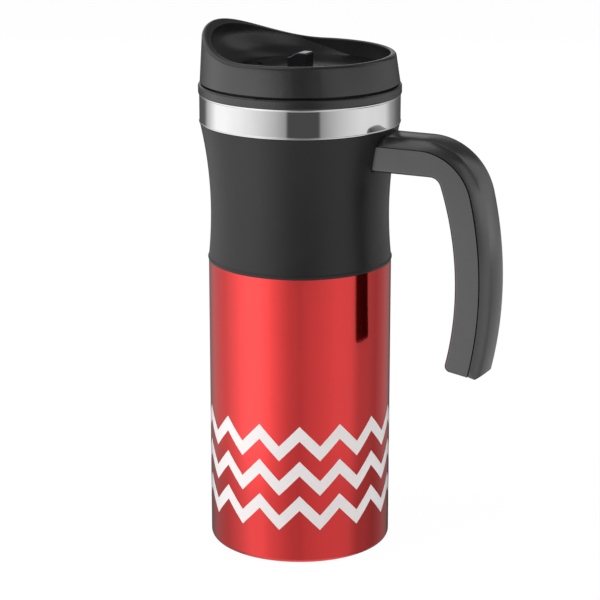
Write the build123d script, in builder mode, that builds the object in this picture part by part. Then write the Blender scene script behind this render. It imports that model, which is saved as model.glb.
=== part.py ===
from build123d import *
from math import asin, cos, degrees, radians, sin, sqrt, tan
import os

# Insulated travel mug with a side handle and a push-in slide lid.
# Millimetres. Origin at the centre of the foot, +Z up, handle towards +X, drinking spout towards -X.

# ---- Driving dimensions: body ----
body_radius = 36.5          # red shell, fits a car cup holder
shell_wall = 0.8
shell_floor = 0.4           # lowest edge of the rolled steel rim
shell_top = 117.7           # where the rubber grip starts
shell_corner = 2.2          # rolled bottom corner
lip_width = 5.0             # bottom lip, rolled in under the body
plate_inset = 3.3           # base plate's edge inside the body's outside
base_plate_thickness = 0.8
pad_clearance = 0.3         # foot pad inside the rolled lip
pad_groove_inset = 7.5      # ring groove that lets water out from under the pad
pad_groove_width = 1.2
pad_groove_depth = 0.5
pad_chamfer = 0.25

# ---- Waist ----
waist_inset = 1.0           # waist inside the body's radius
waist_rise = 19.5           # waist above the shell's top
grip_foot_step = 0.1        # lower edge of the grip outside the shell
grip_top_step = 3.0         # upper edge of the grip outside the body's radius
grip_height = 55.3
grip_thickness = 1.8
grip_lip_height = 1.5       # thin upper lip of the sleeve, outside the core's shoulder
bead_height = 1.6           # small bead at the sleeve's lower edge
bead_proud = 0.2

# ---- Steel band and mouth ring ----
band_gap = 0.2              # between the grip's upper edge and the band
band_step = 0.26            # band outside the grip's upper edge
band_height = 11.5
band_wall = 0.8
ring_step = 0.3             # ring outside the band
ring_height = 3.7
ring_top_round = 1.0
ring_foot_round = 0.4
ring_chamfer = 0.5
ring_skirt_depth = 4.0
ring_skirt_wall = 1.2

# ---- Inner liner and insulation ----
insulation_gap = 7.0        # from the body's outside to the inside of the cup
liner_wall = 0.7
mouth_inset = 5.16          # inside of the flared mouth, inside the band's radius
liner_floor = 7.5           # inside bottom
liner_corner = 9.0
flare_drop = 1.0            # where the cup starts to widen, below the grip's upper edge
flare_height = 5.0
flare_round = 3.5
flange_width = 1.9
foam_step_drop = 2.3        # top of the insulation below the handle's arm
core_wall = 2.3             # wall of the spigot inside the shell
core_depth = 9.7            # spigot length inside the shell
core_rest = 0.1             # core's top below the liner's flange
seat_clearance = 0.2        # between parts that are glued or pressed together
seal_section = 0.6          # radius of the O-rings' round section
seal_sink = 0.1             # O-ring section beyond its groove
seal_room = 0.2             # groove longer than the O-ring's section, at each end

# ---- Handle ----
handle_width = 19.6
handle_drop = 5.5           # upper face of the arm below the grip's upper edge
arm_height = 9.9
finger_room = 34.0          # from the body to the furthest point of the finger side
frame_depth = 10.0          # frame thickness at the grip
frame_back_radius = 150.0
frame_back_height = 115.0
finger_radius = 126.0
finger_height = 113.8
tip_inner_height = 81.5
tip_back_height = 79.9
elbow_radius = 22.0
finger_elbow_radius = 4.5
root_sink = 0.9             # flat face where the handle bears on the core, inside the waist
root_block = 12.0           # solid length of the root, for the screws
frame_wall = 2.4
window_clearance = 0.2      # grip round the handle's root
cover_rise = 4.4            # crown of the back cover above the frame
cover_edge_rise = 4.0       # crease between the crown and the rounded shoulder
cover_shoulder = 3.7        # width of the shoulder
shoulder_radius = 6.9
cover_seat = 0.1            # cover above the frame's back
reveal_height = 0.5         # shadow line between frame and cover
reveal_depth = 0.9
tongue_depth = 1.6
tongue_cover = 1.0          # skin of the cover over its tongue
tongue_clearance = 0.25
tip_bevel = 2.4             # bevelled lower end of the back cover
tip_overhang = 1.0          # back cover below the frame's tip
tip_corner = 5.0            # rounded lower corners of the back cover
tip_inner_round = 2.4       # rounded corner of the frame's tip on the finger side
finger_round = 1.2          # softened edges round the finger space
screw_spacing = 10.0
screw_radius = 1.5
screw_clearance = 0.1
screw_grip = 0.05           # screw hole in the frame beyond the screw's radius
screw_length = 11.0
screw_head_radius = 2.75
screw_head_height = 2.0
screw_head_clearance = 0.3
screw_room = 0.5            # hole beyond the screw's point
pad_thickness = 2.8         # core wall under the screw heads
pad_margin = 1.0            # inner pad inside the arm's outline
pad_round = 2.0

# ---- Lid ----
seat_gap = 0.8              # dark gap between lid and mouth ring
lid_step = 0.71             # lower edge of the lid inside the ring
lid_taper = 0.105           # radius lost per millimetre of height
lid_lean = 0.054            # shift towards the spout per millimetre of height
lid_wall = 2.3
deck_height = 5.6           # deck above the ring's top
deck_thickness = 1.8
rim_height = 12.1           # flat back of the rim above the ring's top
saddle_start = -7.0         # where the rim starts to rise
saddle_spread = 7.65        # saddle arc's radius beyond the lid's
saddle_sweep = 60.0
saddle_room = 5.0           # saddle cut beyond the lid
rim_round = 1.5
rim_inner_round = 0.5
ramp_lap = 4.5              # flat part of the tilted ramp dish beyond the hole's centre
ramp_curve = 11.4
ramp_tilt = 12.0
ramp_drop = 5.7
plug_clearance = 0.6
plug_wall = 2.6
plug_depth = 10.4
plug_chamfer = 0.6
flange_overlap = 2.3        # plug's flange beyond the mouth
flange_thickness = 1.8
gasket_height = 4.8
gasket_drop = 1.4           # gasket above the plug's lower edge
gasket_depth = 1.1
gasket_clearance = 0.1
lip_height = 1.0
hole_inset = 9.9            # drinking hole's centre inside the plug's wall
hole_length = 8.0
hole_width = 11.0
vent_radius = 0.6
vent_spacing = 2.6
vent_offset = 5.0
vent_side = 9.5

# ---- Slide ----
slide_travel = 12.0
tab_length = 8.6
tab_width = 6.4
tab_height = 6.1
tab_gap = 0.3               # under the tab's head
stem_length = 5.0
stem_width = 4.0
stem_clearance = 0.3
slot_round = 1.0
barb_height = 1.0
barb_room = 0.6             # round the barb in the bridge's slot
barb_proud = 0.5
tab_crest = 1.0             # where the thumb ramp starts to fall
tab_lip = 1.7               # rounded front lip of the tab
tab_lip_drop = 1.9
tab_undercut = 0.4
tab_back_round = 0.6
tab_side_round = 0.35
shutter_lap = 7.0           # shutter beyond the hole's centre
shutter_back = 8.0
shutter_width = 17.2
shutter_thickness = 1.4
shutter_round = 4.0
shutter_clearance = 0.2
seal_thickness = 1.1
seal_pocket = 0.6
seal_border = 2.2
seal_corner = 3.0
seal_round = 0.3
bridge_drop = 2.4           # bridge below the deck's underside
bridge_thickness = 1.6
bridge_width = 23.0
bridge_margin = 1.5         # openings in the bridge round the drinking hole
bridge_round = 2.0
rail_width = 1.2
rail_clearance = 0.4

# ---- Derived sizes and levels ----
shell_inner = body_radius - shell_wall
shell_lip_radius = body_radius - lip_width
base_plate_radius = body_radius - plate_inset
pad_groove_radius = shell_lip_radius - pad_groove_inset
plate_bottom = shell_floor + shell_wall
plate_top = plate_bottom + base_plate_thickness
waist_radius = body_radius - waist_inset
waist_height = shell_top + waist_rise
grip_foot_radius = body_radius + grip_foot_step
grip_top_radius = body_radius + grip_top_step
grip_top = shell_top + grip_height
grip_shoulder = grip_top - grip_lip_height
band_radius = grip_top_radius + band_step
band_bottom = grip_top + band_gap
band_top = band_bottom + band_height
band_inner = band_radius - band_wall
ring_radius = band_radius + ring_step
ring_top = band_top + ring_height
liner_radius = body_radius - insulation_gap
liner_outer = liner_radius + liner_wall
mouth_radius = band_radius - mouth_inset
mouth_outer = mouth_radius + liner_wall
flange_outer = mouth_outer + flange_width
flare_bottom = grip_top - flare_drop
flare_top = flare_bottom + flare_height
core_top = band_top - core_rest
core_spigot_radius = shell_inner - seat_clearance
core_inner_radius = core_spigot_radius - core_wall
core_bottom = shell_top - core_depth
core_band_radius = band_inner - seat_clearance
core_mouth_radius = mouth_outer + seat_clearance
seal_middle = core_spigot_radius - seal_section + seal_sink
skirt_bottom = band_top - ring_skirt_depth
skirt_outer = core_band_radius
skirt_inner = skirt_outer - ring_skirt_wall
handle_top = grip_top - handle_drop
arm_bottom = handle_top - arm_height
grip_reach = body_radius + finger_room
frame_reach = grip_reach + frame_depth
root_seat = waist_radius - root_sink
root_middle = (handle_top + arm_bottom) / 2
half_width = handle_width / 2
crease_half = half_width - cover_shoulder
channel_width = handle_width - 2 * frame_wall
window_width = handle_width + 2 * window_clearance
window_height = arm_height + 2 * window_clearance
screw_places = ((-screw_spacing / 2, root_middle), (screw_spacing / 2, root_middle))
back_arc = (frame_back_radius, frame_reach, frame_back_height)
foam_step_height = arm_bottom - foam_step_drop
lid_bottom = ring_top + seat_gap
lid_radius = ring_radius - lid_step
deck_top = ring_top + deck_height
deck_bottom = deck_top - deck_thickness
rim_top = ring_top + rim_height
saddle_radius = lid_radius + saddle_spread
saddle_rise = saddle_radius - sqrt(saddle_radius**2 - (lid_radius + saddle_start) ** 2)
lid_blank = rim_top - lid_bottom + saddle_rise
plug_radius = mouth_radius - plug_clearance
plug_inner = plug_radius - plug_wall
plug_bottom = ring_top - plug_depth
flange_radius = mouth_radius + flange_overlap
flange_top = ring_top + flange_thickness
gasket_middle = plug_bottom + gasket_drop + gasket_height / 2
hole_offset = plug_inner - hole_inset
ramp_radius = hole_offset + ramp_lap
bridge_top = deck_bottom - bridge_drop
shutter_front = hole_offset + shutter_lap
shutter_bottom = bridge_top + shutter_clearance
shutter_top = shutter_bottom + shutter_thickness
stem_bottom = shutter_bottom - seat_clearance
seal_length = hole_length + 2 * seal_border
seal_width = hole_width + 2 * seal_border


def grip_outline(inset):
    """Waist curve of the sleeve from its lower to its upper edge, moved inwards by inset."""
    waist = (waist_radius - inset, waist_height)
    TangentArc(waist, (grip_foot_radius - inset, shell_top), tangent=(0, -1))
    TangentArc(waist, (grip_top_radius - inset, grip_top), tangent=(0, 1))


# ---- Mug body ----
with BuildPart() as outer_shell:
    with BuildSketch(Plane.XZ) as shell_section:
        with BuildLine():
            Polyline(
                (shell_lip_radius, shell_floor),
                (body_radius, shell_floor),
                (body_radius, shell_top),
                (shell_inner, shell_top),
                (shell_inner, plate_bottom),
                (shell_lip_radius, plate_bottom),
                close=True,
            )
        make_face()
        outer_corner = shell_section.vertices().sort_by_distance((body_radius, shell_floor))[0]
        fillet(outer_corner, shell_corner)
        inner_corner = shell_section.vertices().sort_by_distance((shell_inner, plate_bottom))[0]
        fillet(inner_corner, shell_corner - shell_wall)
    revolve(axis=Axis.Z)
outer_shell.part.label = "outer_shell"

with BuildPart() as base_plate:
    with BuildSketch(Plane.XY.offset(plate_bottom)):
        Circle(base_plate_radius)
    extrude(amount=base_plate_thickness)
    rim_edge = base_plate.edges().filter_by(GeomType.CIRCLE).sort_by(Axis.Z)[0]
    fillet(rim_edge, base_plate_thickness / 2)
base_plate.part.label = "base_plate"

with BuildPart() as foot_pad:
    with BuildSketch():
        Circle(shell_lip_radius - pad_clearance)
    extrude(amount=plate_bottom)
    with BuildSketch():
        Circle(pad_groove_radius)
        Circle(pad_groove_radius - pad_groove_width, mode=Mode.SUBTRACT)
    extrude(amount=pad_groove_depth, mode=Mode.SUBTRACT)
    foot_edge = foot_pad.edges().group_by(Axis.Z)[0].sort_by(SortBy.LENGTH)[-1]
    chamfer(foot_edge, pad_chamfer)
foot_pad.part.label = "foot_pad"

with BuildPart() as inner_liner:
    with BuildSketch(Plane.XZ) as liner_section:
        with BuildLine():
            Polyline(
                (0, liner_floor),
                (liner_radius, liner_floor),
                (liner_radius, flare_bottom),
                (mouth_radius, flare_top),
                (mouth_radius, band_top + liner_wall),
                (flange_outer, band_top + liner_wall),
                (flange_outer, band_top),
                (mouth_outer, band_top),
                (mouth_outer, flare_top),
                (liner_outer, flare_bottom),
                (liner_outer, liner_floor - liner_wall),
                (0, liner_floor - liner_wall),
                close=True,
            )
        make_face()
        for level, radius, size in (
            (liner_floor, liner_radius, liner_corner),
            (liner_floor - liner_wall, liner_outer, liner_corner + liner_wall),
            (flare_bottom, liner_radius, flare_round + liner_wall),
            (flare_bottom, liner_outer, flare_round),
            (flare_top, mouth_radius, flare_round),
            (flare_top, mouth_outer, flare_round + liner_wall),
        ):
            corner = liner_section.vertices().sort_by_distance((radius, level))[0]
            fillet(corner, size)
    revolve(axis=Axis.Z)
inner_liner.part.label = "inner_liner"

with BuildPart() as foam_jacket:
    with BuildSketch(Plane.XZ) as foam_section:
        with BuildLine():
            Polyline(
                (0, plate_top),
                (shell_inner - seat_clearance, plate_top),
                (shell_inner - seat_clearance, core_bottom - seat_clearance),
                (core_inner_radius - seat_clearance, core_bottom - seat_clearance),
                (core_inner_radius - seat_clearance, foam_step_height),
                (liner_outer + seat_clearance, foam_step_height),
                (liner_outer + seat_clearance, liner_floor - liner_wall),
                (0, liner_floor - liner_wall),
                close=True,
            )
        make_face()
        outer_corner = foam_section.vertices().sort_by_distance((shell_inner, plate_top))[0]
        chamfer(outer_corner, shell_corner)
        inner_corner = foam_section.vertices().sort_by_distance((liner_outer, liner_floor))[0]
        fillet(inner_corner, liner_corner)
    revolve(axis=Axis.Z)
foam_jacket.part.label = "foam_jacket"

with BuildPart() as steel_band:
    with BuildSketch(Plane.XZ) as band_section:
        with Locations((band_inner + band_wall / 2, band_bottom + band_height / 2)):
            RectangleRounded(band_wall, band_height, band_wall * 0.45)
    revolve(axis=Axis.Z)
steel_band.part.label = "steel_band"

with BuildPart() as collar_core:
    with BuildSketch(Plane.XZ) as core_section:
        with BuildLine():
            grip_outline(grip_thickness + seat_clearance)
        with BuildLine():
            waist_top = (grip_top_radius - grip_thickness - seat_clearance, grip_top)
            waist_foot = (grip_foot_radius - grip_thickness - seat_clearance, shell_top)
            Polyline(
                waist_top,
                (core_inner_radius, grip_top),
                (core_inner_radius, shell_top),
                waist_foot,
            )
        make_face()
        with BuildLine():
            Polyline(
                (core_inner_radius, core_bottom),
                (core_spigot_radius, core_bottom),
                (core_spigot_radius, shell_top),
                (core_inner_radius, shell_top),
                close=True,
            )
        make_face()
        with BuildLine():
            Polyline(
                (core_inner_radius, grip_shoulder),
                (core_band_radius, grip_shoulder),
                (core_band_radius, skirt_bottom - seat_clearance),
                (skirt_inner - seat_clearance, skirt_bottom - seat_clearance),
                (skirt_inner - seat_clearance, core_top),
                (core_mouth_radius, core_top),
                (core_mouth_radius, flare_top),
                (core_inner_radius, flare_bottom + core_wall),
                close=True,
            )
        make_face()
        with Locations((seal_middle, (core_bottom + shell_top) / 2)):
            Rectangle(2 * seal_section + seal_room, 2 * (seal_section + seal_room), mode=Mode.SUBTRACT)
    revolve(axis=Axis.Z)
    # inner pad behind the handle, and the flat that the handle bears on
    with BuildSketch(Plane.YZ.offset(root_seat - pad_thickness)) as core_pad:
        with Locations((0, root_middle)):
            RectangleRounded(handle_width - 2 * pad_margin, arm_height - pad_margin, pad_round)
    extrude(until=Until.NEXT)
    with BuildSketch(Plane.YZ.offset(root_seat)) as core_flat:
        with Locations((0, root_middle)):
            Rectangle(window_width, window_height)
    extrude(amount=body_radius, mode=Mode.SUBTRACT)
    with BuildSketch(Plane.YZ.offset(root_seat - pad_thickness)) as screw_seats:
        with Locations(*screw_places):
            Circle(screw_head_radius + screw_head_clearance)
    extrude(amount=screw_head_height / 2, mode=Mode.SUBTRACT)
    with BuildSketch(Plane.YZ.offset(root_seat - pad_thickness)) as screw_holes:
        with Locations(*screw_places):
            Circle(screw_radius + screw_clearance)
    extrude(amount=body_radius, mode=Mode.SUBTRACT)
collar_core.part.label = "collar_core"

with BuildPart() as grip_sleeve:
    with BuildSketch(Plane.XZ):
        with BuildLine():
            grip_outline(0)
            grip_outline(grip_thickness)
            Line((grip_top_radius - grip_thickness, grip_top), (grip_top_radius, grip_top))
            Line((grip_foot_radius - grip_thickness, shell_top), (grip_foot_radius, shell_top))
        make_face()
        with Locations((grip_foot_radius + bead_proud - bead_height / 2, shell_top + bead_height / 2)):
            Circle(bead_height / 2)
        with Locations((core_band_radius / 2 + seat_clearance / 2, grip_top)):
            Rectangle(core_band_radius + seat_clearance, 2 * grip_lip_height, mode=Mode.SUBTRACT)
    revolve(axis=Axis.Z)
    with BuildSketch(Plane.YZ.offset(liner_outer)):
        with Locations((0, root_middle)):
            Rectangle(window_width, window_height)
    extrude(amount=body_radius, mode=Mode.SUBTRACT)
grip_sleeve.part.label = "grip_sleeve"

with BuildPart() as mouth_ring:
    with BuildSketch(Plane.XZ) as ring_section:
        with BuildLine():
            Polyline(
                (mouth_radius, band_top + liner_wall),
                (flange_outer + seat_clearance, band_top + liner_wall),
                (flange_outer + seat_clearance, band_top),
                (skirt_inner, band_top),
                (skirt_inner, skirt_bottom),
                (skirt_outer, skirt_bottom),
                (skirt_outer, band_top),
                (ring_radius, band_top),
                (ring_radius, ring_top),
                (mouth_radius, ring_top),
                close=True,
            )
        make_face()
        for level, size in ((ring_top, ring_top_round), (band_top, ring_foot_round)):
            fillet(ring_section.vertices().sort_by_distance((ring_radius, level))[0], size)
        chamfer(ring_section.vertices().sort_by_distance((mouth_radius, ring_top))[0], ring_chamfer)
        with Locations((mouth_outer + flange_width / 2, band_top + liner_wall)):
            Rectangle(2 * seal_section + seal_room, 4 * seal_section + seal_room, mode=Mode.SUBTRACT)
    revolve(axis=Axis.Z)
mouth_ring.part.label = "mouth_ring"

with BuildPart() as collar_seal:
    with BuildSketch(Plane.XZ):
        with Locations((seal_middle, (core_bottom + shell_top) / 2)):
            Circle(seal_section)
    revolve(axis=Axis.Z)
collar_seal.part.label = "collar_seal"

with BuildPart() as liner_seal:
    with BuildSketch(Plane.XZ):
        with Locations((mouth_outer + flange_width / 2, band_top + liner_wall + seal_section)):
            Circle(seal_section)
    revolve(axis=Axis.Z)
liner_seal.part.label = "liner_seal"


# ---- Handle ----
def arc_point(radius, reach, middle, height):
    """Point at a given height on an upright arc whose furthest point is at (reach, middle)."""
    return (reach - radius + sqrt(radius**2 - (height - middle) ** 2), height)


def upright_arc(radius, reach, middle, low, high):
    """Upright arc between two heights, drawn from the upper end to the lower one."""
    top = degrees(asin((high - middle) / radius))
    foot = degrees(asin((low - middle) / radius))
    return CenterArc((reach - radius, middle), radius, top, foot - top)


def frame_outline(root, inset):
    """Side view of the handle frame; inset moves the finger side, underside and tip inwards."""
    finger = (finger_radius + inset, grip_reach + inset, finger_height)
    inner_top = arc_point(*finger, arm_bottom + inset)
    inner_tip = arc_point(*finger, tip_inner_height + inset)
    back_top = arc_point(*back_arc, handle_top)
    back_tip = arc_point(*back_arc, tip_back_height + inset)
    with BuildSketch(Plane.XZ) as side:
        with BuildLine():
            Polyline(inner_top, (root, arm_bottom + inset), (root, handle_top), back_top)
            upright_arc(*back_arc, tip_back_height + inset, handle_top)
            Line(back_tip, inner_tip)
            upright_arc(*finger, tip_inner_height + inset, arm_bottom + inset)
        make_face()
        fillet(side.vertices().sort_by_distance(back_top)[0], elbow_radius)
        fillet(side.vertices().sort_by_distance(inner_top)[0], finger_elbow_radius + inset)
    return side.sketch


with BuildLine(Plane.XZ) as back_line:
    back_top = arc_point(*back_arc, handle_top)
    Line((root_seat, handle_top), back_top)
    upright_arc(*back_arc, tip_back_height - tip_overhang, handle_top)
    fillet(back_line.vertices().sort_by_distance((back_top[0], 0, back_top[1]))[0], elbow_radius)
path = back_line.wire()


def faces_fingers(edge):
    """True for the side edges that run round the finger space and the tip."""
    middle = edge.center()
    on_side = abs(middle.Y) > half_width - 0.01 and middle.X > root_seat + 0.01
    return on_side and path.distance_to(Vertex(*middle)) > half_width + 1


with BuildPart() as handle_frame:
    extrude(frame_outline(root_seat, 0), amount=half_width, both=True)
    inner_tip = Vector(grip_reach, 0, tip_inner_height)
    tip_edge = handle_frame.edges().filter_by(Axis.Y).sort_by_distance(inner_tip)[0]
    fillet(tip_edge, tip_inner_round)
    fillet(handle_frame.edges().filter_by(faces_fingers), finger_round)
    channel = frame_outline(root_seat + root_block, frame_wall)
    extrude(channel, amount=channel_width / 2, both=True, mode=Mode.SUBTRACT)
    with BuildSketch(Plane.YZ.offset(root_seat)):
        with Locations(*screw_places):
            Circle(screw_radius + screw_grip)
    screw_hole_depth = screw_length - pad_thickness + screw_head_height / 2 + screw_room
    extrude(amount=screw_hole_depth, mode=Mode.SUBTRACT)
handle_frame.part.label = "handle_frame"

with BuildPart() as grip_space:
    with BuildSketch(Plane.XZ):
        with BuildLine():
            grip_outline(-window_clearance)
            grip_end = grip_top_radius + window_clearance
            grip_start = grip_foot_radius + window_clearance
            Polyline((grip_end, grip_top), (0, grip_top), (0, shell_top), (grip_start, shell_top))
        make_face()
    revolve(axis=Axis.Z)

with BuildPart() as handle_cover:
    with BuildSketch(Plane(origin=path @ 0, x_dir=(0, 1, 0), z_dir=path % 0)) as cover_section:
        with BuildLine():
            Polyline(
                (half_width, reveal_height),
                (half_width - reveal_depth, reveal_height),
                (half_width - reveal_depth, cover_seat),
                (reveal_depth - half_width, cover_seat),
                (reveal_depth - half_width, reveal_height),
                (-half_width, reveal_height),
            )
            RadiusArc((-half_width, reveal_height), (-crease_half, cover_edge_rise), shoulder_radius)
            ThreePointArc((-crease_half, cover_edge_rise), (0, cover_rise), (crease_half, cover_edge_rise))
            RadiusArc((crease_half, cover_edge_rise), (half_width, reveal_height), shoulder_radius)
        make_face()
    sweep(path=path)
    add(grip_space.part, mode=Mode.SUBTRACT)
    # tongue that locates the cover in the frame's channel
    tongue_start = (root_block + tongue_clearance) / path.length
    tongue_end = 1 - (tip_overhang + frame_wall + tongue_clearance) / path.length
    tongue_path = path.trim(tongue_start, tongue_end)
    with BuildSketch(Plane(origin=tongue_path @ 0, x_dir=(0, 1, 0), z_dir=tongue_path % 0)):
        with Locations((0, (cover_edge_rise - tongue_cover - tongue_depth) / 2)):
            Rectangle(channel_width - 2 * tongue_clearance, cover_edge_rise + tongue_depth - tongue_cover)
    sweep(path=tongue_path)
    # lower end: rounded corners and a bevelled crown
    tip_along = path % 1
    tip_out = Vector(-tip_along.Z, 0, tip_along.X)
    with BuildSketch(Plane(origin=path @ 1, x_dir=(0, 1, 0), z_dir=tip_out)):
        for side in (-1, 1):
            with Locations((side * (half_width - tip_corner / 2), 0)):
                Rectangle(tip_corner, 2 * tip_corner)
            middle = side * (half_width - tip_corner)
            with Locations((middle, -tip_corner), (middle, tip_corner)):
                Circle(tip_corner, mode=Mode.SUBTRACT)
    extrude(amount=2 * cover_rise, both=True, mode=Mode.SUBTRACT)
    bevel_start = path @ 1 + tip_out * cover_rise - tip_along * tip_bevel
    split(bisect_by=Plane(origin=bevel_start, z_dir=tip_along + tip_out), keep=Keep.BOTTOM)
handle_cover.part.label = "handle_cover"

with BuildPart() as handle_screws:
    head_plane = Plane.YZ.offset(root_seat - pad_thickness - screw_head_height / 2)
    with BuildSketch(head_plane) as screw_heads:
        with Locations(*screw_places):
            Circle(screw_head_radius)
    extrude(amount=screw_head_height)
    with BuildSketch(head_plane.offset(screw_head_height)) as screw_shanks:
        with Locations(*screw_places):
            Circle(screw_radius)
    extrude(amount=screw_length)
    with BuildSketch(head_plane) as screw_drives:
        with Locations(*screw_places):
            RegularPolygon(screw_radius, 6)
    extrude(amount=screw_head_height / 2, mode=Mode.SUBTRACT)
handle_screws.part.label = "handle_screws"


# ---- Lid ----
def lean_cone(low, high, wall):
    """Leaning cone of the lid between two levels, moved inwards by wall."""
    with BuildPart() as cone:
        for level in (low, high):
            climb = level - lid_bottom
            with BuildSketch(Plane.XY.offset(level)):
                with Locations((-lid_lean * climb, 0)):
                    Circle(lid_radius - lid_taper * climb - wall)
        loft()
    return cone.part


def on_inner_rim(edge):
    """True for the edges where the rim's top meets the inside of the lid's wall."""
    middle = edge @ 0.5
    climb = middle.Z - lid_bottom
    inside = lid_radius - lid_taper * climb - lid_wall
    lean = middle - Vector(-lid_lean * climb, 0, middle.Z)
    return middle.Z > rim_top - 0.01 and abs(lean.length - inside) < 0.05


ramp_plane = Plane(
    origin=(0, 0, deck_top - ramp_drop),
    x_dir=(1, 0, -tan(radians(ramp_tilt))),
    z_dir=(tan(radians(ramp_tilt)), 0, 1),
)
with BuildPart(ramp_plane) as lid_dish:
    Cylinder(ramp_radius + ramp_curve, lid_blank, align=(Align.CENTER, Align.CENTER, Align.MIN))
    fillet(lid_dish.edges().filter_by(GeomType.CIRCLE).sort_by(Axis.Z)[0], ramp_curve)

with BuildPart() as lid_hollow:
    add(lean_cone(deck_top, lid_bottom + lid_blank, lid_wall))
    add(lid_dish.part, mode=Mode.INTERSECT)

with BuildPart() as lid_cover:
    add(lean_cone(lid_bottom, lid_bottom + lid_blank, 0))
    # saddle cut: level at the back, rising in an arc to the spout
    with BuildSketch(Plane.XZ) as saddle:
        with BuildLine():
            CenterArc((saddle_start, rim_top + saddle_radius), saddle_radius, 270, -saddle_sweep)
            reach = saddle_start - saddle_radius * sin(radians(saddle_sweep))
            rise = rim_top + saddle_radius * (1 - cos(radians(saddle_sweep)))
            Polyline(
                (saddle_start, rim_top),
                (lid_radius + saddle_room, rim_top),
                (lid_radius + saddle_room, lid_bottom + 2 * lid_blank),
                (reach, lid_bottom + 2 * lid_blank),
                (reach, rise),
            )
        make_face()
    extrude(amount=lid_radius + saddle_room, both=True, mode=Mode.SUBTRACT)
    outer_rim = lid_cover.edges().filter_by(lambda edge: edge.center().Z > deck_top)
    fillet(outer_rim, rim_round)
    add(lid_hollow.part, mode=Mode.SUBTRACT)
    fillet(lid_cover.edges().filter_by(on_inner_rim), rim_inner_round)
    # underside: recess for the plug's flange, then the space that the shutter slides in
    with BuildSketch(Plane.XY.offset(lid_bottom)):
        Circle(flange_radius + seat_clearance)
    extrude(amount=flange_top - lid_bottom, mode=Mode.SUBTRACT)
    with BuildSketch(Plane.XY.offset(flange_top)):
        Circle(plug_radius)
    extrude(amount=deck_bottom - flange_top, mode=Mode.SUBTRACT)
    with BuildSketch(Plane.XY.offset(deck_bottom)):
        with Locations((-hole_offset, 0)):
            SlotOverall(hole_width, hole_length, rotation=90)
        with Locations((slide_travel / 2, 0)):
            RectangleRounded(
                stem_length + slide_travel + 2 * stem_clearance,
                stem_width + 2 * stem_clearance,
                slot_round,
            )
        with Locations((vent_offset, vent_side)):
            with GridLocations(vent_spacing, 0, 2, 1):
                Circle(vent_radius)
    extrude(amount=rim_top, mode=Mode.SUBTRACT)
lid_cover.part.label = "lid_cover"

with BuildPart() as lid_plug:
    with BuildSketch(Plane.XZ) as plug_section:
        with BuildLine():
            Polyline(
                (plug_inner, plug_bottom),
                (plug_radius, plug_bottom),
                (plug_radius, ring_top),
                (flange_radius, ring_top),
                (flange_radius, flange_top),
                (plug_inner, flange_top),
                close=True,
            )
        make_face()
        chamfer(plug_section.vertices().sort_by_distance((plug_radius, plug_bottom))[0], plug_chamfer)
        with Locations((plug_radius, gasket_middle)):
            Rectangle(2 * gasket_depth, gasket_height + 2 * gasket_clearance, mode=Mode.SUBTRACT)
    revolve(axis=Axis.Z)
    # bridge that carries the shutter, open under the drinking hole and the tab
    with BuildSketch(Plane.XY.offset(bridge_top - bridge_thickness)):
        Circle(plug_inner + plug_wall / 4)
        Rectangle(2 * plug_radius, bridge_width, mode=Mode.INTERSECT)
        with Locations((-hole_offset, 0)):
            RectangleRounded(
                hole_length + 2 * bridge_margin,
                hole_width + 2 * bridge_margin,
                bridge_round,
                mode=Mode.SUBTRACT,
            )
        with Locations((slide_travel / 2, 0)):
            RectangleRounded(
                stem_length + slide_travel + 2 * barb_room,
                stem_width + 2 * barb_proud + 2 * barb_room,
                slot_round,
                mode=Mode.SUBTRACT,
            )
    extrude(amount=bridge_thickness)
    with BuildSketch(Plane.XY.offset(bridge_top)):
        rail_length = shutter_front + shutter_back + slide_travel
        rail_pitch = shutter_width + 2 * rail_clearance + rail_width
        with Locations(((shutter_back + slide_travel - shutter_front) / 2, 0)):
            with GridLocations(0, rail_pitch, 1, 2):
                Rectangle(rail_length, rail_width)
    extrude(amount=deck_bottom - seat_clearance - bridge_top)
lid_plug.part.label = "lid_plug"

with BuildPart() as lid_gasket:
    with BuildSketch(Plane.XZ):
        with Locations((plug_radius - gasket_depth / 2, gasket_middle)):
            Rectangle(gasket_depth, gasket_height)
        lip_radius = lip_height / 2
        with Locations((mouth_radius - gasket_clearance - lip_radius, gasket_middle)):
            with GridLocations(0, gasket_height / 2, 1, 2):
                Circle(lip_radius)
    revolve(axis=Axis.Z)
lid_gasket.part.label = "lid_gasket"


# ---- Slide ----
with BuildPart() as slide_tab:
    with BuildSketch(Plane.XZ) as tab_side:
        with BuildLine():
            head_bottom = deck_top + tab_gap
            head_top = head_bottom + tab_height
            half_tab = tab_length / 2
            Polyline(
                (-half_tab + tab_undercut, head_top - tab_lip_drop - tab_lip),
                (-half_tab + tab_undercut, head_bottom),
                (half_tab, head_bottom),
                (half_tab, head_top),
                (tab_crest, head_top),
            )
            Spline(
                (tab_crest, head_top),
                (-half_tab + tab_lip / 2, head_top - tab_lip_drop),
                tangents=((-1, 0), (-1, -0.15)),
            )
            ThreePointArc(
                (-half_tab + tab_lip / 2, head_top - tab_lip_drop),
                (-half_tab, head_top - tab_lip_drop - tab_lip / 2),
                (-half_tab + tab_undercut, head_top - tab_lip_drop - tab_lip),
            )
        make_face()
        fillet(tab_side.vertices().sort_by_distance((half_tab, head_top))[0], tab_back_round)
    extrude(amount=tab_width / 2, both=True)
    top_edges = slide_tab.edges().filter_by(lambda edge: abs(edge.center().Y) > tab_width / 2 - 0.01)
    top_edges = top_edges.filter_by(lambda edge: edge.center().Z > head_top - tab_lip_drop - tab_lip + 0.1)
    fillet(top_edges, tab_side_round)
    with BuildSketch(Plane.XY.offset(head_bottom)):
        Rectangle(stem_length, stem_width)
    extrude(amount=stem_bottom - head_bottom)
    with BuildSketch(Plane.XY.offset(stem_bottom)):
        Rectangle(stem_length, stem_width + 2 * barb_proud)
    extrude(amount=-barb_height)
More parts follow.
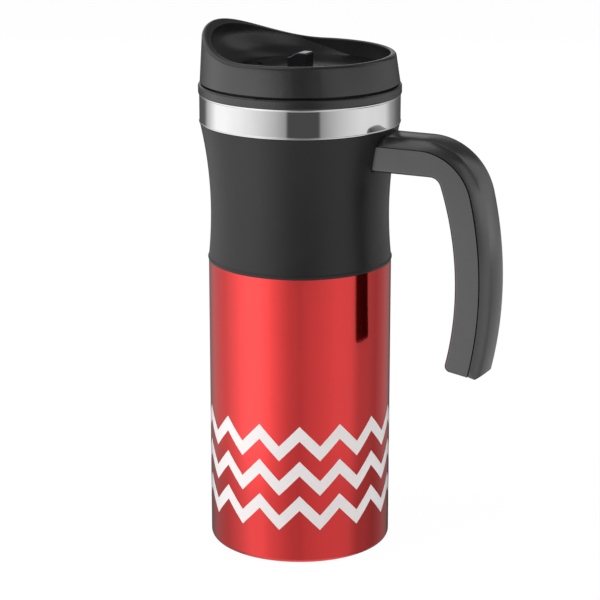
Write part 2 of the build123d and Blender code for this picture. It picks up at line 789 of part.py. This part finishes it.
slide_tab.part.label = "slide_tab"

with BuildPart() as shutter:
    with BuildSketch(Plane.XY.offset(shutter_bottom)):
        with Locations(((shutter_back - shutter_front) / 2, 0)):
            RectangleRounded(shutter_front + shutter_back, shutter_width, shutter_round)
        Rectangle(stem_length + seat_clearance, stem_width + seat_clearance, mode=Mode.SUBTRACT)
    extrude(amount=shutter_thickness)
    with BuildSketch(Plane.XY.offset(shutter_top)):
        with Locations((-hole_offset, 0)):
            RectangleRounded(seal_length + seat_clearance, seal_width + seat_clearance, seal_corner)
    extrude(amount=-seal_pocket, mode=Mode.SUBTRACT)
shutter.part.label = "shutter"

with BuildPart() as shutter_seal:
    with BuildSketch(Plane.XY.offset(shutter_top - seal_pocket)):
        with Locations((-hole_offset, 0)):
            RectangleRounded(seal_length, seal_width, seal_corner)
    extrude(amount=seal_thickness)
    fillet(shutter_seal.faces().sort_by(Axis.Z)[-1].edges(), seal_round)
shutter_seal.part.label = "shutter_seal"


os.makedirs("parts", exist_ok=True)
for piece in (
    outer_shell,
    base_plate,
    foot_pad,
    foam_jacket,
    inner_liner,
    steel_band,
    collar_core,
    grip_sleeve,
    mouth_ring,
    collar_seal,
    liner_seal,
    handle_frame,
    handle_cover,
    handle_screws,
    lid_cover,
    lid_plug,
    lid_gasket,
    slide_tab,
    shutter,
    shutter_seal,
):
    export_step(piece.part, f"parts/{piece.part.label}.step")
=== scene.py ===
import math

import bmesh
import bpy
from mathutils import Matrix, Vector


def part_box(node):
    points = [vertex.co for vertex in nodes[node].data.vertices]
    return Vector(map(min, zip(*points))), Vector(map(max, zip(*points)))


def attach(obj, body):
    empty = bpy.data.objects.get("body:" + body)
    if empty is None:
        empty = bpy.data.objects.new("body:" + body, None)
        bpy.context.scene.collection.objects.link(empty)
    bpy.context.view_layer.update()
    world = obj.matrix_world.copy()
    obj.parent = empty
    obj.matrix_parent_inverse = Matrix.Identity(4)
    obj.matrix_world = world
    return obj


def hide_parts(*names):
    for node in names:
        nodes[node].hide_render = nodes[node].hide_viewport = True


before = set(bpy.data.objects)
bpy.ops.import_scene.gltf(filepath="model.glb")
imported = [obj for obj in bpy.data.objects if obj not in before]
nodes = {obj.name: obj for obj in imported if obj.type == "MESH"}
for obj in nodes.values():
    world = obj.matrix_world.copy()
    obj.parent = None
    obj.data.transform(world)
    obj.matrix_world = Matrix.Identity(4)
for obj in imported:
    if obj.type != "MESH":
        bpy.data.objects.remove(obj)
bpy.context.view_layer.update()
print("frame loaded")

mm = 0.001

view = {
    "place": (0.3749, -0.76865, 0.33916),
    "target": (0.0, 0.0, 0.0996),
    "lens": 132.16,
    "sensor": 36.0,
    "azimuth": math.radians(-64.0),  # world angle of the direction from the mug to the camera
}


def addToScene(name, data):
    item = bpy.data.objects.new(name, data)
    bpy.context.scene.collection.objects.link(item)
    return item


def aimAt(item, target):
    aim = Vector(target) - item.location
    item.rotation_euler = aim.to_track_quat("-Z", "Y").to_euler()


def addCamera():
    data = bpy.data.cameras.new("camera")
    data.lens = view["lens"]
    data.sensor_width = view["sensor"]
    camera = addToScene("camera", data)
    camera.location = view["place"]
    aimAt(camera, view["target"])
    bpy.context.scene.camera = camera


# small steps that the materials are put together from

def newMaterial(name):
    material = bpy.data.materials.new(name)
    material.use_nodes = True
    tree = material.node_tree
    return material, tree, tree.nodes["Principled BSDF"]


def objectCoords(tree, scale=(1, 1, 1)):
    coords = tree.nodes.new("ShaderNodeTexCoord")
    mapping = tree.nodes.new("ShaderNodeMapping")
    mapping.inputs["Scale"].default_value = scale
    tree.links.new(coords.outputs["Object"], mapping.inputs["Vector"])
    return mapping.outputs["Vector"]


def splitPlace(tree, vector):
    node = tree.nodes.new("ShaderNodeSeparateXYZ")
    tree.links.new(vector, node.inputs["Vector"])
    return node.outputs


def turnAbout(tree, vector):
    # goes from 0 to 1 once round the Z axis
    node = tree.nodes.new("ShaderNodeTexGradient")
    node.gradient_type = "RADIAL"
    tree.links.new(vector, node.inputs["Vector"])
    return node.outputs["Fac"]


def noise(tree, vector, scale, detail):
    node = tree.nodes.new("ShaderNodeTexNoise")
    node.inputs["Scale"].default_value = scale
    node.inputs["Detail"].default_value = detail
    node.inputs["Roughness"].default_value = 0.55
    tree.links.new(vector, node.inputs["Vector"])
    return node.outputs["Fac"]


def ramp(tree, value, stops):
    node = tree.nodes.new("ShaderNodeValToRGB")
    elements = node.color_ramp.elements
    while len(elements) > 1:
        elements.remove(elements[-1])
    for index, (place, colour) in enumerate(stops):
        element = elements[0] if index == 0 else elements.new(place)
        element.position = place
        element.color = (*colour, 1.0)
    tree.links.new(value, node.inputs["Fac"])
    return node.outputs["Color"]


def mapRange(tree, value, low, high, fromLow=0.3, fromHigh=0.7):
    # the range read from is what a noise mostly stays in, unless another is given
    node = tree.nodes.new("ShaderNodeMapRange")
    node.inputs["From Min"].default_value = fromLow
    node.inputs["From Max"].default_value = fromHigh
    node.inputs["To Min"].default_value = low
    node.inputs["To Max"].default_value = high
    tree.links.new(value, node.inputs["Value"])
    return node.outputs["Result"]


def maths(tree, operation, first, second=None):
    node = tree.nodes.new("ShaderNodeMath")
    node.operation = operation
    for socket, value in zip(node.inputs, (first, second)):
        if isinstance(value, (int, float)):
            socket.default_value = value
        elif value is not None:
            tree.links.new(value, socket)
    return node.outputs[0]


def mixed(tree, kind, mask, first, second):
    node = tree.nodes.new("ShaderNodeMix")
    node.data_type = kind
    sockets = [socket for socket in node.inputs if socket.enabled]
    tree.links.new(mask, sockets[0])
    for socket, value in zip(sockets[-2:], (first, second)):
        if isinstance(value, (float, tuple)):
            socket.default_value = value
        else:
            tree.links.new(value, socket)
    return next(socket for socket in node.outputs if socket.enabled)


def bump(tree, shader, height, distance, strength):
    node = tree.nodes.new("ShaderNodeBump")
    node.inputs["Strength"].default_value = strength
    node.inputs["Distance"].default_value = distance
    tree.links.new(height, node.inputs["Height"])
    tree.links.new(node.outputs["Normal"], shader.inputs["Normal"])


def shaded(colour, share):
    return tuple(channel * share for channel in colour)


mouldedLooks = {
    "blackPlastic": {
        "colour": (0.008, 0.008, 0.0084), "spread": 0.1, "roughness": (0.22, 0.28), "specular": 0.6,
        "cloudScale": 90.0, "grainScale": 2600.0, "grain": 0.00002, "grainStrength": 0.2},
    "handlePlastic": {
        "colour": (0.011, 0.011, 0.0115), "spread": 0.08, "roughness": (0.2, 0.25), "specular": 1.0,
        "cloudScale": 70.0, "grainScale": 2200.0, "grain": 0.00002, "grainStrength": 0.25},
    "gripRubber": {
        "colour": (0.006, 0.006, 0.0063), "spread": 0.14, "roughness": (0.34, 0.42), "specular": 0.36,
        "cloudScale": 70.0, "grainScale": 1800.0, "grain": 0.00005, "grainStrength": 0.3, "sheen": 0.04},
    "glossBlack": {
        "colour": (0.008, 0.008, 0.009), "spread": 0.1, "roughness": (0.12, 0.18), "specular": 0.5,
        "cloudScale": 120.0, "grainScale": 900.0, "grain": 0.00002, "grainStrength": 0.05, "coat": 0.2},
    "footRubber": {
        "colour": (0.02, 0.02, 0.02), "spread": 0.2, "roughness": (0.65, 0.8), "specular": 0.4,
        "cloudScale": 80.0, "grainScale": 1500.0, "grain": 0.00008, "grainStrength": 0.4},
    "silicone": {
        "colour": (0.5, 0.5, 0.49), "spread": 0.06, "roughness": (0.4, 0.5), "specular": 0.45,
        "cloudScale": 100.0, "grainScale": 1500.0, "grain": 0.00003, "grainStrength": 0.2},
    "foam": {
        "colour": (0.78, 0.72, 0.6), "spread": 0.12, "roughness": (0.8, 0.95), "specular": 0.2,
        "cloudScale": 300.0, "grainScale": 1200.0, "grain": 0.0003, "grainStrength": 0.7},
}


def moulded(name, look):
    # moulded plastic or rubber: mottled colour, uneven gloss and a fine grain
    material, tree, shader = newMaterial(name)
    vector = objectCoords(tree)
    cloud = noise(tree, vector, look["cloudScale"], detail=4.0)
    grain = noise(tree, vector, look["grainScale"], detail=2.0)
    dark = shaded(look["colour"], 1 - look["spread"])
    light = shaded(look["colour"], 1 + look["spread"])
    tree.links.new(ramp(tree, cloud, [(0.35, dark), (0.65, light)]), shader.inputs["Base Color"])
    tree.links.new(mapRange(tree, cloud, *look["roughness"]), shader.inputs["Roughness"])
    bump(tree, shader, grain, look["grain"], look["grainStrength"])
    shader.inputs["Specular IOR Level"].default_value = look["specular"]
    shader.inputs["Coat Weight"].default_value = look.get("coat", 0.0)
    shader.inputs["Coat Roughness"].default_value = 0.05
    shader.inputs["Sheen Weight"].default_value = look.get("sheen", 0.0)
    shader.inputs["Sheen Roughness"].default_value = 0.5
    return material


polishedLooks = {
    "redLacquer": {
        "colour": (0.7, 0.018, 0.018), "spread": 0.05, "roughness": (0.1, 0.14), "metallic": 1.0,
        "smearScale": 40.0, "lineScale": 900.0, "lineStretch": 1.0, "line": 0.00001, "lineStrength": 0.12,
        "coat": 0.9, "edgeTint": (0.85, 0.2, 0.2, 1.0)},
    "polishedSteel": {
        "colour": (0.66, 0.66, 0.665), "spread": 0.04, "roughness": (0.03, 0.07), "metallic": 1.0,
        "smearScale": 60.0, "lineScale": 20.0, "lineStretch": 60.0, "line": 0.000004, "lineStrength": 0.1},
    "linerSteel": {
        "colour": (0.6, 0.6, 0.61), "spread": 0.08, "roughness": (0.3, 0.4), "metallic": 0.8,
        "smearScale": 50.0, "lineScale": 30.0, "lineStretch": 90.0, "line": 0.00002, "lineStrength": 0.3},
    "screwSteel": {
        "colour": (0.5, 0.5, 0.52), "spread": 0.1, "roughness": (0.25, 0.4), "metallic": 1.0,
        "smearScale": 200.0, "lineScale": 300.0, "lineStretch": 1.0, "line": 0.00002, "lineStrength": 0.3},
}


def polished(name, look):
    # metal: turned lines that run round the axis, and faint smears in the gloss
    material, tree, shader = newMaterial(name)
    smear = noise(tree, objectCoords(tree), look["smearScale"], detail=4.0)
    lines = noise(tree, objectCoords(tree, (1, 1, look["lineStretch"])), look["lineScale"], detail=3.0)
    dark = shaded(look["colour"], 1 - look["spread"])
    tree.links.new(ramp(tree, smear, [(0.3, dark), (0.6, look["colour"])]), shader.inputs["Base Color"])
    tree.links.new(mapRange(tree, smear, *look["roughness"]), shader.inputs["Roughness"])
    bump(tree, shader, lines, look["line"], look["lineStrength"])
    shader.inputs["Metallic"].default_value = look["metallic"]
    shader.inputs["Specular Tint"].default_value = look.get("edgeTint", (1.0, 1.0, 1.0, 1.0))
    shader.inputs["Coat Weight"].default_value = look.get("coat", 0.0)
    shader.inputs["Coat Roughness"].default_value = 0.03
    return material


# white zigzag stripes, screen-printed right round the lower shell
zigzag = {
    "peaks": 14,
    "amplitude": 0.0085,
    "low": 0.0145,  # height of the lowest stripe's lower corners
    "pitch": 0.0145,
    "stripe": 0.42,  # share of the pitch that is white
    "stripes": 3,
    "white": (0.66, 0.66, 0.655, 1.0),
    "roughness": 0.38,
}


def printedLacquer(look, pattern):
    material = polished("printedLacquer", look)
    tree = material.node_tree
    shader = tree.nodes["Principled BSDF"]
    coords = objectCoords(tree)
    halfPeaks = maths(tree, "MULTIPLY", turnAbout(tree, coords), 2.0 * pattern["peaks"])
    lift = maths(tree, "MULTIPLY", maths(tree, "PINGPONG", halfPeaks, 1.0), pattern["amplitude"])
    level = maths(tree, "SUBTRACT", splitPlace(tree, coords)["Z"], lift)
    level = maths(tree, "DIVIDE", level, pattern["pitch"])
    level = maths(tree, "SUBTRACT", level, pattern["low"] / pattern["pitch"])
    inStripe = maths(tree, "LESS_THAN", maths(tree, "FRACT", level), pattern["stripe"])
    above = maths(tree, "GREATER_THAN", level, 0.0)
    below = maths(tree, "LESS_THAN", level, float(pattern["stripes"]))
    ink = maths(tree, "MULTIPLY", inStripe, maths(tree, "MULTIPLY", above, below))
    colour = shader.inputs["Base Color"].links[0].from_socket
    roughness = shader.inputs["Roughness"].links[0].from_socket
    tree.links.new(mixed(tree, "RGBA", ink, colour, pattern["white"]), shader.inputs["Base Color"])
    tree.links.new(mixed(tree, "FLOAT", ink, roughness, pattern["roughness"]), shader.inputs["Roughness"])
    tree.links.new(maths(tree, "SUBTRACT", 1.0, ink), shader.inputs["Metallic"])
    return material


materials = {name: moulded(name, look) for name, look in mouldedLooks.items()}
materials.update({name: polished(name, look) for name, look in polishedLooks.items()})
materials["printedLacquer"] = printedLacquer(polishedLooks["redLacquer"], zigzag)
print("materials made")

nodeFinish = {
    "outer_shell": "redLacquer",
    "base_plate": "linerSteel",
    "foot_pad": "footRubber",
    "foam_jacket": "foam",
    "inner_liner": "linerSteel",
    "steel_band": "polishedSteel",
    "collar_core": "blackPlastic",
    "grip_sleeve": "gripRubber",
    "mouth_ring": "blackPlastic",
    "collar_seal": "footRubber",
    "liner_seal": "silicone",
    "handle_frame": "handlePlastic",
    "handle_cover": "handlePlastic",
    "handle_screws": "screwSteel",
    "lid_cover": "blackPlastic",
    "lid_plug": "blackPlastic",
    "lid_gasket": "silicone",
    "slide_tab": "glossBlack",
    "shutter": "blackPlastic",
    "shutter_seal": "silicone",
}
smoothing = {
    "weld": 0.000002,  # corners of loose triangles this near to each other become one
    "sharp": math.radians(32),  # an edge that turns more than this stays crisp
}


def weldAndSmooth():
    group = bpy.data.node_groups.new("weldAndSmooth", "GeometryNodeTree")
    group.interface.new_socket("Geometry", in_out="INPUT", socket_type="NodeSocketGeometry")
    group.interface.new_socket("Geometry", in_out="OUTPUT", socket_type="NodeSocketGeometry")
    start = group.nodes.new("NodeGroupInput")
    weld = group.nodes.new("GeometryNodeMergeByDistance")
    weld.inputs["Distance"].default_value = smoothing["weld"]
    allFaces = group.nodes.new("GeometryNodeSetShadeSmooth")
    angle = group.nodes.new("GeometryNodeInputMeshEdgeAngle")
    isSharp = group.nodes.new("FunctionNodeCompare")
    isSharp.data_type = "FLOAT"
    isSharp.operation = "GREATER_THAN"
    isSharp.inputs[1].default_value = smoothing["sharp"]
    sharpEdges = group.nodes.new("GeometryNodeSetShadeSmooth")
    sharpEdges.domain = "EDGE"
    sharpEdges.inputs["Shade Smooth"].default_value = False
    end = group.nodes.new("NodeGroupOutput")
    link = group.links.new
    link(start.outputs["Geometry"], weld.inputs["Geometry"])
    link(weld.outputs["Geometry"], allFaces.inputs["Geometry"])
    link(angle.outputs["Unsigned Angle"], isSharp.inputs[0])
    link(allFaces.outputs["Geometry"], sharpEdges.inputs["Geometry"])
    link(isSharp.outputs["Result"], sharpEdges.inputs["Selection"])
    link(sharpEdges.outputs["Geometry"], end.inputs["Geometry"])
    return group


def finishNodes():
    group = weldAndSmooth()
    for name, finish in nodeFinish.items():
        piece = nodes[name]
        for slot in piece.material_slots:
            slot.material = materials[finish]
        piece.modifiers.new("weldAndSmooth", "NODES").node_group = group
        piece.modifiers.new("weighted", "WEIGHTED_NORMAL").keep_sharp = True


finishNodes()
print("nodes finished")


turning = {
    "roundSegments": 7,  # in each round of an outline
    "weld": 0.0001 * mm,
}


def roundedOutline(bm, corners):
    # closed outline in the XZ plane; each corner is radius, height and round, in millimetres
    outline = [bm.verts.new((radius * mm, 0, height * mm)) for radius, height, _ in corners]
    bm.faces.new(outline)
    for vertex, (_, _, roundness) in zip(outline, corners):
        if roundness:
            bmesh.ops.bevel(bm, geom=[vertex], offset=roundness * mm, offset_type="OFFSET",
                            segments=turning["roundSegments"], profile=0.5, affect="VERTICES", material=-1)
    bmesh.ops.delete(bm, geom=bm.faces[:], context="FACES_ONLY")


def turned(name, body, finish, replaced, corners, steps):
    bm = bmesh.new()
    roundedOutline(bm, corners)
    bmesh.ops.spin(bm, geom=bm.verts[:] + bm.edges[:], cent=(0, 0, 0), axis=(0, 0, 1),
                   angle=math.tau, steps=steps, use_merge=True)
    bmesh.ops.remove_doubles(bm, verts=bm.verts, dist=turning["weld"])
    bmesh.ops.recalc_face_normals(bm, faces=bm.faces)
    for face in bm.faces:
        face.smooth = True
    for edge in bm.edges:
        edge.smooth = edge.calc_face_angle(0) < smoothing["sharp"]
    mesh = bpy.data.meshes.new(name)
    bm.to_mesh(mesh)
    bm.free()
    mesh.materials.append(materials[finish])
    piece = addToScene(name, mesh)
    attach(piece, body)
    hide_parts(replaced)


def nodeSize(node):
    # outer radius, foot and top of a round node, in millimetres
    low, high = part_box(node)
    return high[0] / mm, low[2] / mm, high[2] / mm


# sizes of both turned pieces are in millimetres
redShell = {
    "wall": 0.8,
    "corner": 2.2,  # round of the bottom edge
    "lip": 31.5,  # radius of the opening that the base plate closes
    "lipRound": 0.3,
    "rimRound": 0.15,
    "steps": 192,
}


def addShell():
    radius, foot, top = nodeSize("outer_shell")
    wall, corner, lip, lipRound = (redShell[key] for key in ("wall", "corner", "lip", "lipRound"))
    turned("red_shell", "mug", "printedLacquer", "outer_shell", [
        (lip, foot, lipRound),
        (radius, foot, corner),
        (radius, top, redShell["rimRound"]),
        (radius - wall, top, 0),
        (radius - wall, foot + wall, corner - wall),
        (lip, foot + wall, lipRound),
    ], redShell["steps"])


brightBand = {
    "wall": 0.8,
    "bead": 0.55,  # height of the rolled bead along each edge
    "sunk": 0.14,  # depth of the face between the beads
    "edgeRound": 0.25,
    "beadRound": 0.12,
    "steps": 256,
}


def addBand():
    radius, foot, top = nodeSize("steel_band")
    bead, sunk, edgeRound, beadRound = (brightBand[key] for key in ("bead", "sunk", "edgeRound", "beadRound"))
    inner = radius - brightBand["wall"]
    face = radius - sunk
    turned("bright_band", "mug", "polishedSteel", "steel_band", [
        (inner, foot, 0),
        (radius, foot, edgeRound),
        (radius, foot + bead, beadRound),
        (face, foot + bead + sunk, beadRound),
        (face, top - bead - sunk, beadRound),
        (radius, top - bead, beadRound),
        (radius, top, edgeRound),
        (inner, top, 0),
    ], brightBand["steps"])


addShell()
addBand()
print("turned pieces made")


def seenRays(tree):
    # 1 for what the camera, a reflection or glass shows, 0 for the light that falls on the mug
    path = tree.nodes.new("ShaderNodeLightPath")
    seen = maths(tree, "MAXIMUM", path.outputs["Is Camera Ray"], path.outputs["Is Glossy Ray"])
    return maths(tree, "MAXIMUM", seen, path.outputs["Is Transmission Ray"])


def addWorld(ambient):
    world = bpy.data.worlds.new("studio")
    bpy.context.scene.world = world
    world.use_nodes = True
    tree = world.node_tree
    background = tree.nodes["Background"]
    background.inputs["Color"].default_value = (1, 1, 1, 1)
    tree.links.new(mapRange(tree, seenRays(tree), ambient, 1.0, 0.0, 1.0), background.inputs["Strength"])


paperFloor = {
    "size": 8.0,
    "drop": 0.00002,  # gap under the foot pad
    "colour": (0.86, 0.86, 0.86, 1),
    "roughness": 0.9,
    "specular": 0.1,
    "glow": 0.98,  # share of plain white in what is seen, the rest being the lit paper with its shadow
}


def addFloor():
    bpy.ops.mesh.primitive_plane_add(size=paperFloor["size"], location=(0, 0, -paperFloor["drop"]))
    floor = bpy.context.object
    floor.name = "floor"
    material, tree, shader = newMaterial("paper")
    shader.inputs["Base Color"].default_value = paperFloor["colour"]
    shader.inputs["Roughness"].default_value = paperFloor["roughness"]
    shader.inputs["Specular IOR Level"].default_value = paperFloor["specular"]
    glow = tree.nodes.new("ShaderNodeEmission")
    glow.inputs["Color"].default_value = (1, 1, 1, 1)
    mix = tree.nodes.new("ShaderNodeMixShader")
    tree.links.new(mapRange(tree, seenRays(tree), 0.0, paperFloor["glow"], 0.0, 1.0), mix.inputs["Fac"])
    tree.links.new(shader.outputs["BSDF"], mix.inputs[1])
    tree.links.new(glow.outputs["Emission"], mix.inputs[2])
    tree.links.new(mix.outputs["Shader"], tree.nodes["Material Output"].inputs["Surface"])
    floor.data.materials.append(material)
    floor.visible_glossy = False


# a round wall of soft boxes and dark gaps, and a ceiling, which only the mug's gloss shows: they light
# nothing and are painted reflections
# levels are pairs of degrees to the right of the camera and brightness
paintedSoftBoxReflections = {
    "radius": 0.3,
    "low": -0.4,
    "high": 0.9,
    "sides": 128,
    "lowest": [
        (-180, 1.0), (-174, 0.9), (-164, 0.1), (-145, 0.42), (-132, 0.66), (-102, 0.9), (-82, 1.3),
        (-64, 1.85), (-48, 1.85), (-34, 1.3), (-20, 0.9), (-13, 0.74), (0, 0.62), (8, 0.71), (21, 0.79),
        (45, 0.98), (62, 0.95), (76, 0.6), (88, 0.56), (104, 0.44), (116, 0.5), (130, 0.54), (145, 0.38),
        (156, 0.1), (164, 0.1), (174, 0.9), (180, 1.0)],
    # further bands upwards: the heights between which each takes over, and its levels
    "bands": [
        (0.08, 0.1, [
            (-180, 0.9), (-174, 0.8), (-164, 0.08), (-140, 0.12), (-132, 0.16), (-124, 0.6), (-117, 0.86),
            (-105, 1.38), (-90, 1.42), (-69, 1.29), (-53, 1.11), (-40, 0.9), (-27, 0.68), (-15.5, 0.44),
            (-12.5, 0.09), (19.5, 0.09), (22.5, 0.4), (29, 0.53), (42, 0.74), (56, 0.92), (70, 1.02),
            (92, 1.0), (107, 0.93), (119, 0.44), (136, 0.17), (150, 0.1), (164, 0.08), (174, 0.8),
            (180, 0.9)]),
        (0.1345, 0.1385, [
            (-180, 0.08), (-150, 0.16), (-138, 0.34), (-124, 0.75), (-107, 1.45), (-85, 1.75), (-66, 1.92),
            (-49, 2.1), (-33, 1.8), (-17.5, 1.14), (-8, 0.34), (0, 0.17), (12, 0.21), (20, 0.48), (28, 0.8),
            (43, 1.12), (60, 1.22), (78, 1.12), (99, 0.85), (112, 0.66), (126, 0.42), (150, 0.11),
            (180, 0.08)]),
        (0.2, 0.24, [
            (-180, 0.85), (-165, 0.85), (-130, 0.5), (-100, 0.6), (-40, 0.8), (-10, 0.3), (12, 0.3),
            (25, 0.8), (50, 0.8), (65, 0.45), (78, 0.4), (90, 0.6), (122, 0.6), (130, 0.1), (148, 0.12),
            (165, 0.5), (175, 0.85), (180, 0.85)]),
        (0.27, 0.33, [
            (-180, 0.1), (-160, 0.3), (-140, 0.8), (-110, 1.0), (-60, 1.0), (-30, 0.25), (10, 0.2),
            (30, 0.7), (50, 0.7), (65, 0.35), (82, 0.35), (95, 0.7), (120, 0.7), (128, 0.1), (180, 0.1)]),
        (0.44, 0.5, [
            (-180, 0.3), (-150, 0.4), (-120, 1.0), (-50, 1.0), (-15, 0.2), (60, 0.1), (100, 0.1),
            (140, 0.4), (180, 0.3)]),
    ],
    # below the mug the wall fades, between these heights, to these shares of its brightness: painted shade in
    # the reflections on the lower part of the mug
    "footFade": (-0.095, -0.04),
    "footShares": [
        (-180, 0.64), (-40, 0.65), (-17, 0.84), (5, 0.96), (23, 0.93), (43, 0.8), (80, 0.73), (180, 0.66)],
    # the ceiling fades from its left to its right, between these places, from the first level to the second
    "ceilingFade": (-0.12, 0.03),
    "ceilingLevels": (1.15, 0.15),
}


def levelRamp(tree, turn, levels):
    top = max(level for _, level in levels)
    stops = [((degrees + 180) / 360, (level / top,) * 3) for degrees, level in levels]
    return maths(tree, "MULTIPLY", ramp(tree, turn, stops), top)


def studioPlace(tree):
    # a place in the studio, with X from the mug towards the camera's side and Y to its right
    turn = tree.nodes.new("ShaderNodeMapping")
    turn.inputs["Rotation"].default_value = (0, 0, -view["azimuth"])
    tree.links.new(tree.nodes.new("ShaderNodeNewGeometry").outputs["Position"], turn.inputs["Vector"])
    return turn.outputs["Vector"]


def wallLevel(tree):
    place = studioPlace(tree)
    turn = turnAbout(tree, place)
    height = splitPlace(tree, place)["Z"]
    level = levelRamp(tree, turn, paintedSoftBoxReflections["lowest"])
    for low, high, levels in paintedSoftBoxReflections["bands"]:
        band = levelRamp(tree, turn, levels)
        level = mixed(tree, "FLOAT", mapRange(tree, height, 0.0, 1.0, low, high), level, band)
    share = levelRamp(tree, turn, paintedSoftBoxReflections["footShares"])
    fade = mapRange(tree, height, 0.0, 1.0, *paintedSoftBoxReflections["footFade"])
    return maths(tree, "MULTIPLY", level, mixed(tree, "FLOAT", fade, share, 1.0))


def ceilingLevel(tree):
    across = splitPlace(tree, studioPlace(tree))["Y"]
    return mapRange(tree, across, *paintedSoftBoxReflections["ceilingLevels"], *paintedSoftBoxReflections["ceilingFade"])


def glowing(name, makeLevel):
    # a stage piece's material that only glows; here it gives the painted reflections of the soft box wall and
    # ceiling
    material, tree, shader = newMaterial(name)
    tree.nodes.remove(shader)
    glow = tree.nodes.new("ShaderNodeEmission")
    tree.links.new(makeLevel(tree), glow.inputs["Strength"])
    tree.links.new(glow.outputs["Emission"], tree.nodes["Material Output"].inputs["Surface"])
    return material


# wall and ceiling are hidden from the camera, from diffuse light and from shadows, so their glow is only a
# painted reflection in the mug's gloss
def addPaintedSoftBoxReflections():
    depth = paintedSoftBoxReflections["high"] - paintedSoftBoxReflections["low"]
    bpy.ops.mesh.primitive_cylinder_add(
        vertices=paintedSoftBoxReflections["sides"], radius=paintedSoftBoxReflections["radius"], depth=depth, end_fill_type="NOTHING",
        location=(0, 0, paintedSoftBoxReflections["low"] + depth / 2))
    wall = bpy.context.object
    wall.name = "paintedSoftBoxReflections"
    bpy.ops.mesh.primitive_circle_add(
        vertices=paintedSoftBoxReflections["sides"], radius=paintedSoftBoxReflections["radius"], fill_type="NGON",
        location=(0, 0, paintedSoftBoxReflections["high"]))
    ceiling = bpy.context.object
    ceiling.name = "ceiling"
    for stage, makeLevel in ((wall, wallLevel), (ceiling, ceilingLevel)):
        stage.data.materials.append(glowing(stage.name, makeLevel))
        stage.visible_camera = False
        stage.visible_diffuse = False
        stage.visible_transmission = False
        stage.visible_shadow = False


# degrees to the right of the camera, then metres, and watts
lamps = {
    "leftBox": {"turn": -70, "height": 0.7, "distance": 1.0, "size": 0.9, "power": 14},
    "rightBox": {"turn": 75, "height": 0.5, "distance": 1.1, "size": 0.8, "power": 6},
    "topBox": {"turn": 20, "height": 1.3, "distance": 0.4, "size": 0.8, "power": 4},
    "backBox": {"turn": 180, "height": 0.6, "distance": 1.1, "size": 0.9, "power": 8},
}
lampTarget = (0, 0, 0.11)


def addLamp(name, lamp):
    data = bpy.data.lights.new(name, "AREA")
    data.size = lamp["size"]
    data.energy = lamp["power"]
    box = addToScene(name, data)
    turn = view["azimuth"] + math.radians(lamp["turn"])
    box.location = (lamp["distance"] * math.cos(turn), lamp["distance"] * math.sin(turn), lamp["height"])
    aimAt(box, lampTarget)
    box.visible_glossy = False


bpy.context.scene.view_settings.view_transform = "Standard"
addCamera()
addWorld(ambient=0.4)
addFloor()
addPaintedSoftBoxReflections()
for name, lamp in lamps.items():
    addLamp(name, lamp)
print("studio made")
